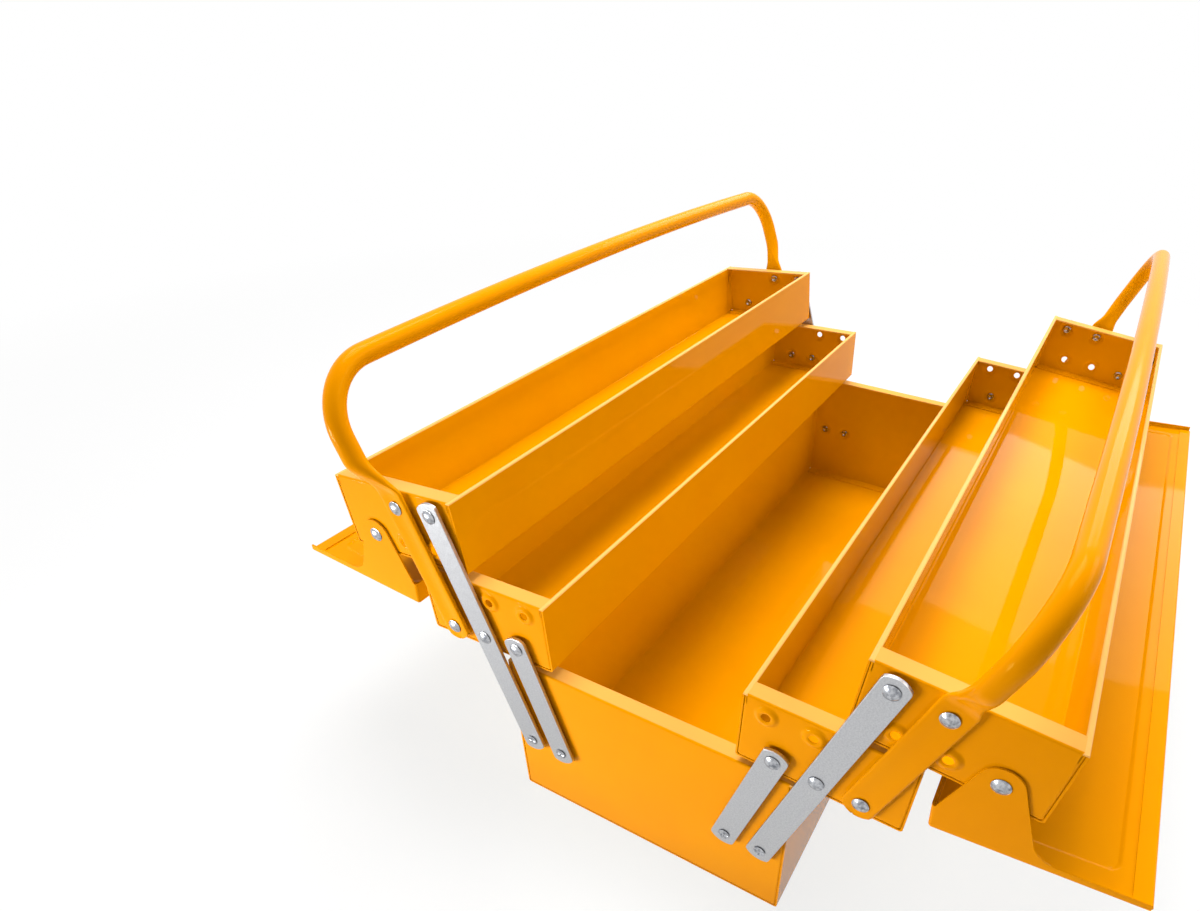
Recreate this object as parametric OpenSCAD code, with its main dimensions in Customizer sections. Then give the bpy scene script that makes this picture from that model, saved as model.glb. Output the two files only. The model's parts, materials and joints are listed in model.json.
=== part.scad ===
// Cantilever tool box: a sheet-steel base with two stacked trays on each side that swing out on links.
// Units mm. X runs along the box, +Y is its left side, Z is up; the origin is the bottom centre of the base.
// The box is drawn opened out. Every moving piece is placed by the same pivots that carry it.

/* [Body] */
// Length over the end plates
body_l = 404; // [360:2:460]
// Width of the base
base_w = 150; // [140:1:170]
// Height of the base
base_h = 92.4; // [80:0.2:120]
// Height of each tray
tray_h = 37.4; // [36:0.2:44]
// Gap between the left and right trays when shut
tray_gap = 4.8; // [4:0.2:8]
// Gap between stacked pieces when shut
stack_gap = 1; // [0.6:0.1:2]
// Sheet thickness
sheet = 0.8; // [0.6:0.1:1]
// Height of the folded hem along each long wall
hem_h = 5; // [3:0.5:8]
// Depth of the flanges round each end plate
flange = 8; // [5:0.5:12]
// Gap between an end flange and the hems beside it
flange_gap = 0.5; // [0.3:0.1:1]

/* [Pivot pattern on each tray end] */
// Height of the lower row of pivots
low_v = 9.2; // [8:0.1:9.6]
// Height of the upper row of pivots
high_v = 30.1; // [29:0.1:31]
// Short link pivot, from the inner wall
short_u = 17.5; // [16:0.1:18]
// Long link's middle pivot, from the inner wall
mid_u = 36.5; // [36:0.1:37.5]
// Handle foot pivot, and lid pivot one tray up, from the inner wall
foot_u = 55.1; // [55:0.1:56.5]
// Long link's top pivot, from the inner wall
top_u = 11.1; // [10.5:0.1:12]
// Handle's upper pivot, from the inner wall
grip_u = 31.3; // [30.8:0.1:32]
// Spacing of the two link pivots on the base
base_pitch = 18; // [17.8:0.1:19]
// Lean of the long links when the box is open, from upright
open_lean = 18.1; // [10:0.1:20]
// Turn of each lid from shut to hanging open
lid_turn = 170.4; // [150:0.2:173]

/* [Pressed bosses] */
// How far a boss stands out from the end plate
boss_h = 1.2; // [1:0.1:1.4]
// Radius of the boss's flat top
boss_r = 3.6; // [3.5:0.1:4.4]
// Width of the boss's sloping side
boss_slope = 1.4; // [0.8:0.1:1.6]

/* [Links] */
// Width of the steel links
link_w = 12; // [10:0.2:15]
// How far a link runs on past its end pivots
link_over = 6.5; // [6:0.1:8]
// Radius of a link's shallow round end
link_end_r = 8.5; // [8:0.1:12]
// Thickness of the steel links
link_t = 1.8; // [1.2:0.1:1.9]

/* [Rivets] */
// Shank diameter
rivet_d = 4; // [3:0.1:5]
// Head diameter
head_d = 7; // [6:0.1:8.5]
// Head height
head_h = 1.4; // [1:0.1:1.6]
// Diameter of the base rivets' flat outer ends
flat_d = 5.7; // [5:0.1:6.4]
// Height of the base rivets' flat outer ends
flat_h = 0.5; // [0.4:0.1:1.2]
// Diameter of the clenched tail
tail_d = 5.6; // [5:0.1:6]
// Height of the clenched tail
tail_h = 1.1; // [0.8:0.1:1.2]
// Radial clearance of a link on its rivet
run_fit = 0.1; // [0.09:0.01:0.1]
// Radial clearance of a rivet in its own plate
set_fit = 0.03; // [0.02:0.01:0.05]
// Gap between pieces that slide over each other
slip = 0.2; // [0.15:0.05:0.3]

/* [Handles] */
// Tube diameter
tube_d = 9.5; // [8:0.1:9.6]
// Distance of the tube's centre outside the end plate
tube_out = 10.5; // [10:0.1:14]
// Width of the flattened foot
foot_w = 14; // [12:0.2:17]
// How far the foot runs on below its lower pivot
foot_low = 7.5; // [6:0.1:8]
// Radius of the foot's shallow round end
foot_end_r = 9.5; // [9:0.1:14]
// Thickness of the flattened foot
foot_t = 2; // [1.4:0.1:2.2]
// Length of flat foot above the upper pivot
foot_over = 7; // [6:0.5:8]
// Length over which the flat foot grows into the tube
neck_l = 20; // [14:1:20]
// Grip's centre beyond the upper pivot, at its middle
grip_up = 68; // [68:0.5:80]
// Radius of the tube's corner bends
bend_r = 28; // [24:1:34]
// Rise of the grip's shallow arch
arch = 3.5; // [2:0.5:5]
// How much thinner the tube is in its bends
draw_down = 0.06; // [0.06:0.02:0.2]

/* [Lids] */
// Clear height of the lid over the tray's rim
lid_over = 5.4; // [5.4:0.1:8]
// Gap between the lid's lip and the tray's outer wall
lip_gap = 2.6; // [1.4:0.1:3]
// Depth of the lip
lip_h = 12.6; // [8:0.2:14]
// Lid's inner edge, from the tray's inner wall
lid_in = 0.6; // [-1:0.1:6]
// Width of the folded hem along the inner edge
lid_hem = 6.5; // [4:0.5:9]
// Depth of the end flange along the panel
rim_h = 4; // [3.2:0.1:4.4]
// Radius of the ear round the lid's pivot
ear_r = 8; // [7:0.1:8.4]
// Gap between the end plates and the lid's ends
ear_gap = 0.4; // [0.3:0.05:0.5]
// Height of the raised field in the middle of the lid
field_h = 0.8; // [0.4:0.1:1]
// Margin round the raised field
field_edge = 11; // [9:0.5:16]

/* [Hidden] */

$fn = 48;
eps = 0.01;
past = 1;
bend_in = 1;
arc_steps = 14;
neck_in = 0.5;
neck_step = 0.15;
foot_ease = 0.1;
tube_facets = 32;
bend_facets = 72;
dome_facets = 96;
bow_facets = 720;
paint = [0.96, 0.6, 0.04];
zinc = [0.75, 0.76, 0.78];
steel = [0.62, 0.62, 0.64];

// Sizes that follow from the ones above
half_l = body_l / 2;
trough_half = half_l - sheet;
tray_w = (base_w - tray_gap) / 2;
tray_in = tray_gap / 2;
boss_x = half_l + boss_h;
link_x = boss_x + slip;
foot_x = boss_x + slip + foot_ease;
tube_x = half_l + tube_out;
lid_x = half_l + ear_gap;
lid_v = tray_h + lid_over;
lid_top = lid_v + sheet;
lip_u = tray_w + lip_gap;
lid_half = lid_x + sheet;

// Points on a tray end: outward from the inner wall, then up from the floor
pin_short = [short_u, low_v];
pin_mid = [mid_u, low_v];
pin_foot = [foot_u, low_v];
pin_top = [top_u, high_v];
pin_grip = [grip_u, high_v];

// A plane point turned by a degrees from outward towards up
function turned(p, a) = [p.x * cos(a) - p.y * sin(a), p.x * sin(a) + p.y * cos(a)];

// Where two arms of lengths rp and rq from p and q meet, on the left of the way from p to q
function meet(p, rp, q, rq) =
  let (
    d = norm(q - p),
    along = (rp * rp - rq * rq + d * d) / (2 * d),
    off = sqrt(rp * rp - along * along),
    dir = (q - p) / d
  )
  p + along * dir + off * [-dir.y, dir.x];

// A tray's pose is [corner, tilt]; this finds the pose from one known pivot and the tilt
function posed(pin, at, tilt) = [at - turned(pin, tilt), tilt];
function at_pose(pose, p) = pose[0] + turned(p, pose[1]);

// Shut: both trays stand level, and one straight long link joins base, middle tray and top tray
shut_mid = [[tray_in, base_h + stack_gap], 0];
shut_top = [[tray_in, base_h + 2 * stack_gap + tray_h], 0];
half_arm = at_pose(shut_top, pin_top) - at_pose(shut_mid, pin_mid);
arm = norm(half_arm);
base_long = at_pose(shut_mid, pin_mid) - half_arm;
base_short = base_long - [base_pitch, 0];
short_arm = norm(at_pose(shut_mid, pin_short) - base_short);
foot_arm = norm(at_pose(shut_top, pin_grip) - at_pose(shut_mid, pin_foot));

// Open: the long links lean outwards and each tray tips to where its second pivot lets it
step = arm * [sin(open_lean), cos(open_lean)];
open_m = base_long + step;
open_t = base_long + 2 * step;
open_s = meet(base_short, short_arm, open_m, mid_u - short_u);
mid_tilt = atan2(open_m.y - open_s.y, open_m.x - open_s.x);
open_mid = posed(pin_mid, open_m, mid_tilt);
open_h = at_pose(open_mid, pin_foot);
open_g = meet(open_t, grip_u - top_u, open_h, foot_arm);
top_tilt = atan2(open_g.y - open_t.y, open_g.x - open_t.x);
open_top = posed(pin_top, open_t, top_tilt);
short_lean = atan2(open_s.x - base_short.x, open_s.y - base_short.y);
foot_lean = atan2(open_g.x - open_h.x, open_g.y - open_h.y);

// Points along an arc about c, from angle a to angle b
function arc(c, r, a, b) = [for (i = [0:arc_steps]) c + r * [cos(a + (b - a) * i / arc_steps), sin(a + (b - a) * i / arc_steps)]];

// ---- placing ----

// side +1 is left (+Y), -1 is right
module on_side(side) {
  if (side > 0) children();
  else mirror([0, 1, 0]) children();
}

// end +1 is rear (+X), -1 is front
module on_end(end) {
  if (end > 0) children();
  else mirror([1, 0, 0]) children();
}

module both_ends() {
  children();
  mirror([1, 0, 0]) children();
}

module in_pose(pose) {
  translate([0, pose[0].x, pose[0].y])
    rotate([pose[1], 0, 0])
      children();
}

// A flat outline in the (outward, up) plane, given thickness from x0 along X
module slab(x0, t) {
  translate([x0, 0, 0])
    rotate([90, 0, 90])
      linear_extrude(height = t)
        children();
}

// A round piece on an axis along X, through the plane point p
module on_pin(p, x0) {
  translate([x0, p.x, p.y])
    rotate([0, 90, 0])
      children();
}

// ---- sheet metal ----

// Bent trough: floor, two long walls, and a hem folded down inside each rim
module trough(w, h) {
  slab(-trough_half, 2 * trough_half)
    polygon([
      [0, 0], [w, 0], [w, h], [w - 2 * sheet, h], [w - 2 * sheet, h - hem_h], [w - sheet, h - hem_h],
      [w - sheet, sheet], [sheet, sheet], [sheet, h - hem_h], [2 * sheet, h - hem_h], [2 * sheet, h], [0, h]
    ]);
}

// Boss pressed outwards round a pivot
module boss(p, grow) {
  on_pin(p, half_l - sheet + (grow ? sheet : 0) - eps)
    cylinder(
      h = boss_h + eps,
      r1 = boss_r + boss_slope - (grow ? 0 : sheet / 2),
      r2 = boss_r - (grow ? 0 : sheet / 2)
    );
}

// End plate with flanges turned in all round, bosses at bossed and a plain hole at each of plain
module end_plate(w, h, bossed, plain) {
  side_top = h - hem_h - flange_gap;
  difference() {
    union() {
      slab(trough_half, sheet) square([w, h]);
      // top flange, between the two hems
      translate([trough_half - flange, 2 * sheet + flange_gap, h - sheet])
        cube([flange + eps, w - 4 * sheet - 2 * flange_gap, sheet]);
      // bottom and side flanges, lapped inside the trough
      translate([trough_half - flange, 0, 0]) {
        translate([0, sheet, sheet]) cube([flange + eps, w - 2 * sheet, sheet]);
        translate([0, sheet, sheet]) cube([flange + eps, sheet, side_top - sheet]);
        translate([0, w - 2 * sheet, sheet]) cube([flange + eps, sheet, side_top - sheet]);
      }
      for (p = bossed) boss(p, true);
    }
    for (p = bossed) boss(p, false);
    for (p = concat(bossed, plain))
      on_pin(p, trough_half - past)
        cylinder(h = boss_h + sheet + 2 * past, r = rivet_d / 2 + set_fit);
  }
}

module base_end() {
  w = base_w;
  long_y = w / 2 + base_long.x;
  short_y = w / 2 + base_short.x;
  pins = [
    [long_y, base_long.y], [short_y, base_short.y],
    [w - long_y, base_long.y], [w - short_y, base_short.y]
  ];
  translate([0, -w / 2, 0]) end_plate(w, base_h, pins, []);
}

module mid_end() {
  end_plate(tray_w, tray_h, [pin_short, pin_mid, pin_foot, pin_top, pin_grip], []);
}

module top_end() {
  end_plate(tray_w, tray_h, [pin_short, pin_mid, pin_top, pin_grip], [pin_foot]);
}

// ---- lids, drawn shut over a top tray ----

// End flange: an ear round the pivot, swept clear of the handle pivot, running into a narrow rim
module lid_flange() {
  e = pin_foot;
  g = pin_grip;
  clear_r = lid_top - rim_h - g.y;
  way = atan2(g.y - e.y, g.x - e.x);
  side_a = way + acos((ear_r + clear_r) / norm(g - e));
  lip_foot = [lip_u + sheet, lid_top - lip_h];
  lip_a = atan2(lip_foot.y - e.y, lip_foot.x - e.x) - acos(ear_r / norm(lip_foot - e));
  difference() {
    polygon(concat(
      [lip_foot, [lip_u + sheet, lid_top], [lid_in, lid_top], [lid_in, lid_top - rim_h]],
      arc(g, clear_r, 90, side_a - 180),
      arc(e, ear_r, side_a, lip_a + 360)
    ));
    translate(e) circle(r = rivet_d / 2 + run_fit);
  }
}

// Bent panel: outer lip, flat top and a hem folded back under the inner edge
module lid_sheet() {
  slab(-lid_half, 2 * lid_half)
    polygon([
      [lip_u, lid_top - lip_h], [lip_u + sheet, lid_top - lip_h], [lip_u + sheet, lid_top],
      [lid_in, lid_top], [lid_in, lid_v - sheet], [lid_in + lid_hem, lid_v - sheet],
      [lid_in + lid_hem, lid_v], [lip_u, lid_v]
    ]);
}

// Block over the raised field, from low to high above the panel's top and drawn in by shrink
module lid_field(low, high, shrink) {
  u0 = lid_in + field_edge + shrink;
  u1 = lip_u + sheet - field_edge - shrink;
  half = lid_half - field_edge - shrink;
  translate([-half, u0, lid_top + low])
    cube([2 * half, u1 - u0, high - low]);
}

module lid() {
  difference() {
    union() {
      lid_sheet();
      lid_field(-eps, field_h, 0);
      both_ends() slab(lid_x, sheet) lid_flange();
    }
    // the field is pressed, so it is hollow underneath
    lid_field(-sheet - eps, field_h - sheet, sheet);
  }
}

// ---- links, drawn upright from their lowest pivot ----

// What is cut off a strip of width w to leave a shallow round end, with its crown at v = 0
module round_off(w, r) {
  difference() {
    translate([-w, -r]) square([2 * w, 2 * r]);
    translate([0, -r]) circle(r = r);
  }
}

// Pivot holes along a flat piece that lies from x0 to x0 + t
module pivot_holes(pins, x0, t) {
  for (v = pins)
    on_pin([0, v], x0 - past) cylinder(h = t + 2 * past, r = rivet_d / 2 + run_fit);
}

module link(pins) {
  bottom = -link_over;
  top = pins[len(pins) - 1] + link_over;
  difference() {
    slab(link_x, link_t)
      difference() {
        translate([-link_w / 2, bottom - past]) square([link_w, top - bottom + 2 * past]);
        translate([0, top]) round_off(link_w, link_end_r);
        translate([0, bottom]) mirror([0, 1]) round_off(link_w, link_end_r);
      }
    pivot_holes(pins, link_x, link_t);
  }
}

// ---- handles, drawn upright from the foot pivot ----

// Flat foot with its two pivot holes
module handle_foot() {
  bottom = -foot_low;
  difference() {
    slab(foot_x, foot_t)
      difference() {
        translate([-foot_w / 2, bottom - past]) square([foot_w, foot_arm + foot_over - bottom + past]);
        translate([0, bottom]) mirror([0, 1]) round_off(foot_w, foot_end_r);
      }
    pivot_holes([0, foot_arm], foot_x, foot_t);
  }
}

// The flat foot swelling out into the round tube
module handle_neck() {
  foot_top = foot_arm + foot_over;
  hull() {
    translate([foot_x, -foot_w / 2, foot_top - neck_in]) cube([foot_t, foot_w, neck_in]);
    translate([tube_x, 0, foot_top + neck_l]) cylinder(h = neck_in, r = tube_d / 2 - neck_step, $fn = tube_facets);
  }
}

// Corner bends, and between them one long shallow arc that forms the grip. The tube is drawn down
// a little in the bends, whose ends run a short way inside the straight and the arc.
module handle() {
  bend_x = tube_x - bend_r;
  bow_a = 2 * atan(arch / bend_x);
  bow_r = bend_x / sin(bow_a) + bend_r;
  bow_v = foot_arm + grip_up - bow_r;
  bend_v = bow_v + (bow_r - bend_r) * cos(bow_a);
  neck_top = foot_arm + foot_over + neck_l;
  both_ends() {
    handle_foot();
    handle_neck();
    translate([tube_x, 0, neck_top]) cylinder(h = bend_v - neck_top, d = tube_d);
    translate([bend_x, 0, bend_v])
      rotate([90, 0, 0])
        rotate([0, 0, -bend_in])
          rotate_extrude(angle = 90 - bow_a + 2 * bend_in, $fn = bend_facets)
            translate([bend_r, 0]) circle(d = tube_d - draw_down, $fn = tube_facets);
  }
  translate([0, 0, bow_v])
    rotate([90, 0, 0])
      rotate([0, 0, 90 - bow_a])
        rotate_extrude(angle = 2 * bow_a, $fn = bow_facets)
          translate([bow_r, 0]) circle(d = tube_d, $fn = tube_facets);
}

// ---- rivets ----

// Shank and clenched tail reaching in to x_tail, and on x_head a domed or a flat end
module rivet(p, x_tail, x_head, domed = true) {
  ball = (head_d * head_d / 4 + head_h * head_h) / (2 * head_h);
  on_pin(p, x_tail - tail_h) cylinder(h = tail_h, d = tail_d);
  on_pin(p, x_tail - eps) cylinder(h = x_head - x_tail + 2 * eps, d = rivet_d);
  if (!domed) on_pin(p, x_head) cylinder(h = flat_h, d = flat_d);
  if (domed) on_pin(p, x_head)
    intersection() {
      translate([0, 0, head_h - ball]) sphere(r = ball, $fn = dome_facets);
      cylinder(h = head_h, d = head_d);
    }
}

boss_in = boss_x - sheet;
over_link = link_x + link_t + slip;
over_foot = foot_x + foot_t + slip;
over_ear = lid_half + slip;

module base_rivet_set() {
  for (side = [-1, 1])
    on_side(side)
      both_ends()
        for (p = [base_long, base_short]) rivet(p, boss_in, over_link, false);
}

module mid_rivet_set() {
  both_ends() {
    rivet(pin_short, boss_in, over_link);
    rivet(pin_mid, boss_in, over_link);
    rivet(pin_foot, boss_in, over_foot);
  }
}

module top_rivet_set() {
  both_ends() {
    rivet(pin_top, boss_in, over_link);
    rivet(pin_grip, boss_in, over_foot);
    rivet(pin_foot, trough_half, over_ear);
  }
}

// ---- one module per sub-part ----

module mid_piece(side) on_side(side) in_pose(open_mid) children();
module top_piece(side) on_side(side) in_pose(open_top) children();

module lid_piece(side) {
  top_piece(side)
    translate([0, pin_foot.x, pin_foot.y])
      rotate([-lid_turn, 0, 0])
        translate([0, -pin_foot.x, -pin_foot.y])
          lid();
}

module long_link(side, end) {
  on_side(side) on_end(end) in_pose([base_long, -open_lean]) link([0, arm, 2 * arm]);
}

module short_link(side, end) {
  on_side(side) on_end(end) in_pose([base_short, -short_lean]) link([0, short_arm]);
}

module handle_piece(side) on_side(side) in_pose([open_h, -foot_lean]) handle();

module base_tray() color(paint) translate([0, -base_w / 2, 0]) trough(base_w, base_h);
module base_end_front() color(paint) on_end(-1) base_end();
module base_end_rear() color(paint) on_end(1) base_end();
module base_rivets() color(steel) base_rivet_set();

module mid_tray_left() color(paint) mid_piece(1) trough(tray_w, tray_h);
module mid_end_left_front() color(paint) mid_piece(1) on_end(-1) mid_end();
module mid_end_left_rear() color(paint) mid_piece(1) mid_end();
module mid_rivets_left() color(steel) mid_piece(1) mid_rivet_set();
module mid_tray_right() color(paint) mid_piece(-1) trough(tray_w, tray_h);
module mid_end_right_front() color(paint) mid_piece(-1) on_end(-1) mid_end();
module mid_end_right_rear() color(paint) mid_piece(-1) mid_end();
module mid_rivets_right() color(steel) mid_piece(-1) mid_rivet_set();

module top_tray_left() color(paint) top_piece(1) trough(tray_w, tray_h);
module top_end_left_front() color(paint) top_piece(1) on_end(-1) top_end();
module top_end_left_rear() color(paint) top_piece(1) top_end();
module top_rivets_left() color(steel) top_piece(1) top_rivet_set();
module top_tray_right() color(paint) top_piece(-1) trough(tray_w, tray_h);
module top_end_right_front() color(paint) top_piece(-1) on_end(-1) top_end();
module top_end_right_rear() color(paint) top_piece(-1) top_end();
module top_rivets_right() color(steel) top_piece(-1) top_rivet_set();

module lid_left() color(paint) lid_piece(1);
module lid_right() color(paint) lid_piece(-1);

module long_link_left_front() color(zinc) long_link(1, -1);
module long_link_left_rear() color(zinc) long_link(1, 1);
module long_link_right_front() color(zinc) long_link(-1, -1);
module long_link_right_rear() color(zinc) long_link(-1, 1);
module short_link_left_front() color(zinc) short_link(1, -1);
module short_link_left_rear() color(zinc) short_link(1, 1);
module short_link_right_front() color(zinc) short_link(-1, -1);
module short_link_right_rear() color(zinc) short_link(-1, 1);

module handle_left() color(paint) handle_piece(1);
module handle_right() color(paint) handle_piece(-1);

base_tray();
base_end_front();
base_end_rear();
base_rivets();
mid_tray_left();
mid_end_left_front();
mid_end_left_rear();
mid_rivets_left();
mid_tray_right();
mid_end_right_front();
mid_end_right_rear();
mid_rivets_right();
top_tray_left();
top_end_left_front();
top_end_left_rear();
top_rivets_left();
top_tray_right();
top_end_right_front();
top_end_right_rear();
top_rivets_right();
lid_left();
lid_right();
long_link_left_front();
long_link_left_rear();
long_link_right_front();
long_link_right_rear();
short_link_left_front();
short_link_left_rear();
short_link_right_front();
short_link_right_rear();
handle_left();
handle_right();
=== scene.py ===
"""Dresses a cantilever tool box: folded trays, pressed end plates and lids, plated links, rivets and handles.

Sizes inside the classes are in millimetres, in each part's own plane: x along the box, u outward, v up.
"""

import json
import logging
import math
from collections.abc import Callable, Sequence
from dataclasses import dataclass, field
from enum import Enum
from typing import Any

import bmesh
import bpy
from mathutils import Matrix, Vector
from mathutils.geometry import delaunay_2d_cdt

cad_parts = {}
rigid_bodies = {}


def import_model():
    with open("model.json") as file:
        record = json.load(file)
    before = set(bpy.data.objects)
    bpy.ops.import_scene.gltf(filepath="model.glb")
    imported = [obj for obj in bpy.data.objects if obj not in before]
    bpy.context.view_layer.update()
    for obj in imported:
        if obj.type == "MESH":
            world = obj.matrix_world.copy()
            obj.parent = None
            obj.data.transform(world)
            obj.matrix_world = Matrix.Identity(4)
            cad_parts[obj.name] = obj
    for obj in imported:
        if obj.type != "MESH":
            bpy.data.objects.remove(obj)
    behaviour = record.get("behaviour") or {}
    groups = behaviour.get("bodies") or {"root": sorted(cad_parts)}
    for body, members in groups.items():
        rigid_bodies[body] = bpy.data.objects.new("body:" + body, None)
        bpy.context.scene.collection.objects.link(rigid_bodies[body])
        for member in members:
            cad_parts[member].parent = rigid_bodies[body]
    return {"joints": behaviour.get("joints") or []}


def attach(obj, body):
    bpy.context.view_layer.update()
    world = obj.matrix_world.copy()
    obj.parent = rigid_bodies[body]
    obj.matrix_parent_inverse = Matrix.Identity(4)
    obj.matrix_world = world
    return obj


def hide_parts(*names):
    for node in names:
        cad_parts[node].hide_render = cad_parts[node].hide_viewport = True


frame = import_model()

LOG = logging.getLogger("tool_box")
MM = 0.001
SMOOTH_ANGLE = math.radians(34)
BEND_STEPS = 6
Point = tuple[float, float]
Spot = tuple[float, float, float]


class Side(Enum):
    """Which half of the box a piece belongs to; the value is the sign of Y."""

    LEFT = 1
    RIGHT = -1


class End(Enum):
    """Which end of the box a piece belongs to; the value is the sign of X."""

    FRONT = -1
    REAR = 1


class RivetShape(Enum):
    """The forms a rivet shows: a domed head, an eyelet-like tail, or a tail set flat with a cross."""

    HEAD = 0
    TAIL = 1
    CROSS = 2


# ---- materials ----


def linear(code: str) -> tuple[float, float, float, float]:
    """Turn an sRGB hex colour into Blender's linear colour.

    Args:
        code: The colour as "#RRGGBB".

    Returns:
        Linear red, green, blue and an alpha of 1.
    """
    parts = [int(code[i : i + 2], 16) / 255 for i in (1, 3, 5)]
    r, g, b = (c / 12.92 if c <= 0.04045 else ((c + 0.055) / 1.055) ** 2.4 for c in parts)
    return r, g, b, 1.0


def add(
    tree: bpy.types.NodeTree, kind: str, sockets: dict[Any, Any] | None = None, **settings: Any
) -> bpy.types.Node:
    """Add a node with its settings, values and incoming links.

    Args:
        tree: The tree that takes the node.
        kind: The node's type name.
        sockets: Input name or number, and the value it holds or the output linked into it.
        **settings: Properties of the node itself.

    Returns:
        The new node.
    """
    node = tree.nodes.new(kind)
    for key, value in settings.items():
        setattr(node, key, value)
    for key, value in (sockets or {}).items():
        socket = node.inputs[key]
        if isinstance(value, bpy.types.NodeSocket):
            tree.links.new(value, socket)
        else:
            socket.default_value = value
    return node


def new_material(name: str) -> tuple[bpy.types.Material, bpy.types.NodeTree]:
    """Make an empty node material.

    Args:
        name: The material's name.

    Returns:
        The material and its node tree.
    """
    material = bpy.data.materials.new(name)
    material.use_nodes = True
    material.node_tree.nodes.clear()
    return material, material.node_tree


def noise(
    tree: bpy.types.NodeTree, size: float, detail: float, stretch: Spot = (1, 1, 1)
) -> bpy.types.NodeSocket:
    """Add a noise pattern of a real size on Object coordinates.

    Args:
        tree: The material's tree.
        size: Size of one blotch in millimetres.
        detail: Octaves of finer noise.
        stretch: Extra scale along X, Y and Z; below 1 draws the pattern out.

    Returns:
        The noise's value socket.
    """
    where = add(tree, "ShaderNodeTexCoord").outputs["Object"]
    placed = add(tree, "ShaderNodeMapping", {"Vector": where, "Scale": stretch}).outputs[0]
    return add(
        tree, "ShaderNodeTexNoise", {"Vector": placed, "Scale": 1 / (size * MM), "Detail": detail}
    ).outputs["Fac"]


def patches(
    tree: bpy.types.NodeTree, size: float, detail: float, span: Sequence[float], stretch: Spot = (1, 1, 1)
) -> bpy.types.NodeSocket:
    """Add patches of a real size whose value runs from one level to another.

    Args:
        tree: The material's tree.
        size: Size of one patch in millimetres.
        detail: Octaves of finer noise at the patches' borders.
        span: Noise at which a patch starts and is full, then the value outside and inside it.
        stretch: Extra scale along X, Y and Z; below 1 draws the patches out.

    Returns:
        The value's socket.
    """
    start, full, outside, within = span
    ports = {"Value": noise(tree, size, detail, stretch), 1: start, 2: full, 3: outside, 4: within}
    return add(tree, "ShaderNodeMapRange", ports).outputs[0]


def shown(tree: bpy.types.NodeTree) -> bpy.types.NodeSocket:
    """Pick out what the eye meets directly, in a reflection or through glass.

    Args:
        tree: The material's or the world's tree.

    Returns:
        A socket that is 1 for those rays and 0 for the light that spreads.
    """
    ray = add(tree, "ShaderNodeLightPath").outputs
    both = add(tree, "ShaderNodeMath", {0: ray["Is Camera Ray"], 1: ray["Is Glossy Ray"]}, operation="ADD")
    every = {0: both.outputs[0], 1: ray["Is Transmission Ray"]}
    return add(tree, "ShaderNodeMath", every, operation="ADD", use_clamp=True).outputs[0]


@dataclass(frozen=True)
class PowderCoat:
    """Stoved gloss powder coat on steel: even strong colour, hard reflections with a faint orange peel."""

    name: str = "powder_coat_on_steel_sheet"
    colour: str = "#EF9300"
    thin: str = "#F09700"
    thrown: str = "#EDDCB0"
    # colour of the highlight painted along the rims and top flanges
    rolled: str = "#FFC878"
    # tint of what shows reflected square on, which keeps the gloss as warm as the film under it
    shine: tuple[float, float, float, float] = (1.0, 0.88, 0.1, 1.0)
    roughness: float = 0.03
    # a stoved film has about 1.5; less keeps white surroundings from veiling its colour
    ior: float = 1.13
    cloud_size: float = 45.0
    scuff_size: float = 24.0
    scuff_rise: float = 0.02
    peel_size: float = 1.8
    peel_depth: float = 0.003
    wave_size: float = 85.0
    wave_depth: float = 0.05

    def build(self) -> bpy.types.Material:
        """Make the material.

        Returns:
            The finished material.
        """
        material, tree = new_material(self.name)
        # cured film thickness drifts a little over a panel, so the colour is never quite flat
        cloud = patches(tree, self.cloud_size, 3.0, (0.3, 0.7, 0.0, 1.0))
        film = {"Factor": cloud, 6: linear(self.colour), 7: linear(self.thin)}
        colour = add(tree, "ShaderNodeMix", film, data_type="RGBA").outputs[2]
        # a highlight is painted along the rims and top flanges, where they catch the light, and the rim
        # attribute says where
        rim = add(tree, "ShaderNodeAttribute", attribute_name="rim").outputs["Fac"]
        painted_highlight_mix = {"Factor": rim, 6: colour, 7: linear(self.rolled)}
        colour = add(tree, "ShaderNodeMix", painted_highlight_mix, data_type="RGBA").outputs[2]
        # what one face throws on the next is taken paler, so that the trays' insides don't turn red
        bounced = add(tree, "ShaderNodeLightPath").outputs["Is Diffuse Ray"]
        passed = {"Factor": bounced, 6: colour, 7: linear(self.thrown)}
        colour = add(tree, "ShaderNodeMix", passed, data_type="RGBA").outputs[2]
        # fine handling scuffs dull the gloss here and there
        levels = (0.5, 0.8, self.roughness, self.roughness + self.scuff_rise)
        scuff = patches(tree, self.scuff_size, 2.0, levels)
        inputs = {"Base Color": colour, "Roughness": scuff, "IOR": self.ior, "Specular Tint": self.shine}
        if self.wave_depth > 0.0:
            # rolled sheet is never dead flat: long shallow waves bend the reflections
            waves = {"Distance": self.wave_depth * MM, "Height": noise(tree, self.wave_size, 1.0)}
            wave = add(tree, "ShaderNodeBump", {"Strength": 1.0, **waves}).outputs[0]
            # orange peel of the stoved film, drawn near its real 1 to 2 mm
            skin = noise(tree, self.peel_size, 1.0)
            peel = {"Distance": self.peel_depth * MM, "Height": skin, "Normal": wave}
            inputs["Normal"] = add(tree, "ShaderNodeBump", {"Strength": 1.0, **peel}).outputs[0]
        surface = add(tree, "ShaderNodeBsdfPrincipled", inputs).outputs[0]
        add(tree, "ShaderNodeOutputMaterial", {"Surface": surface})
        return material


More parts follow.
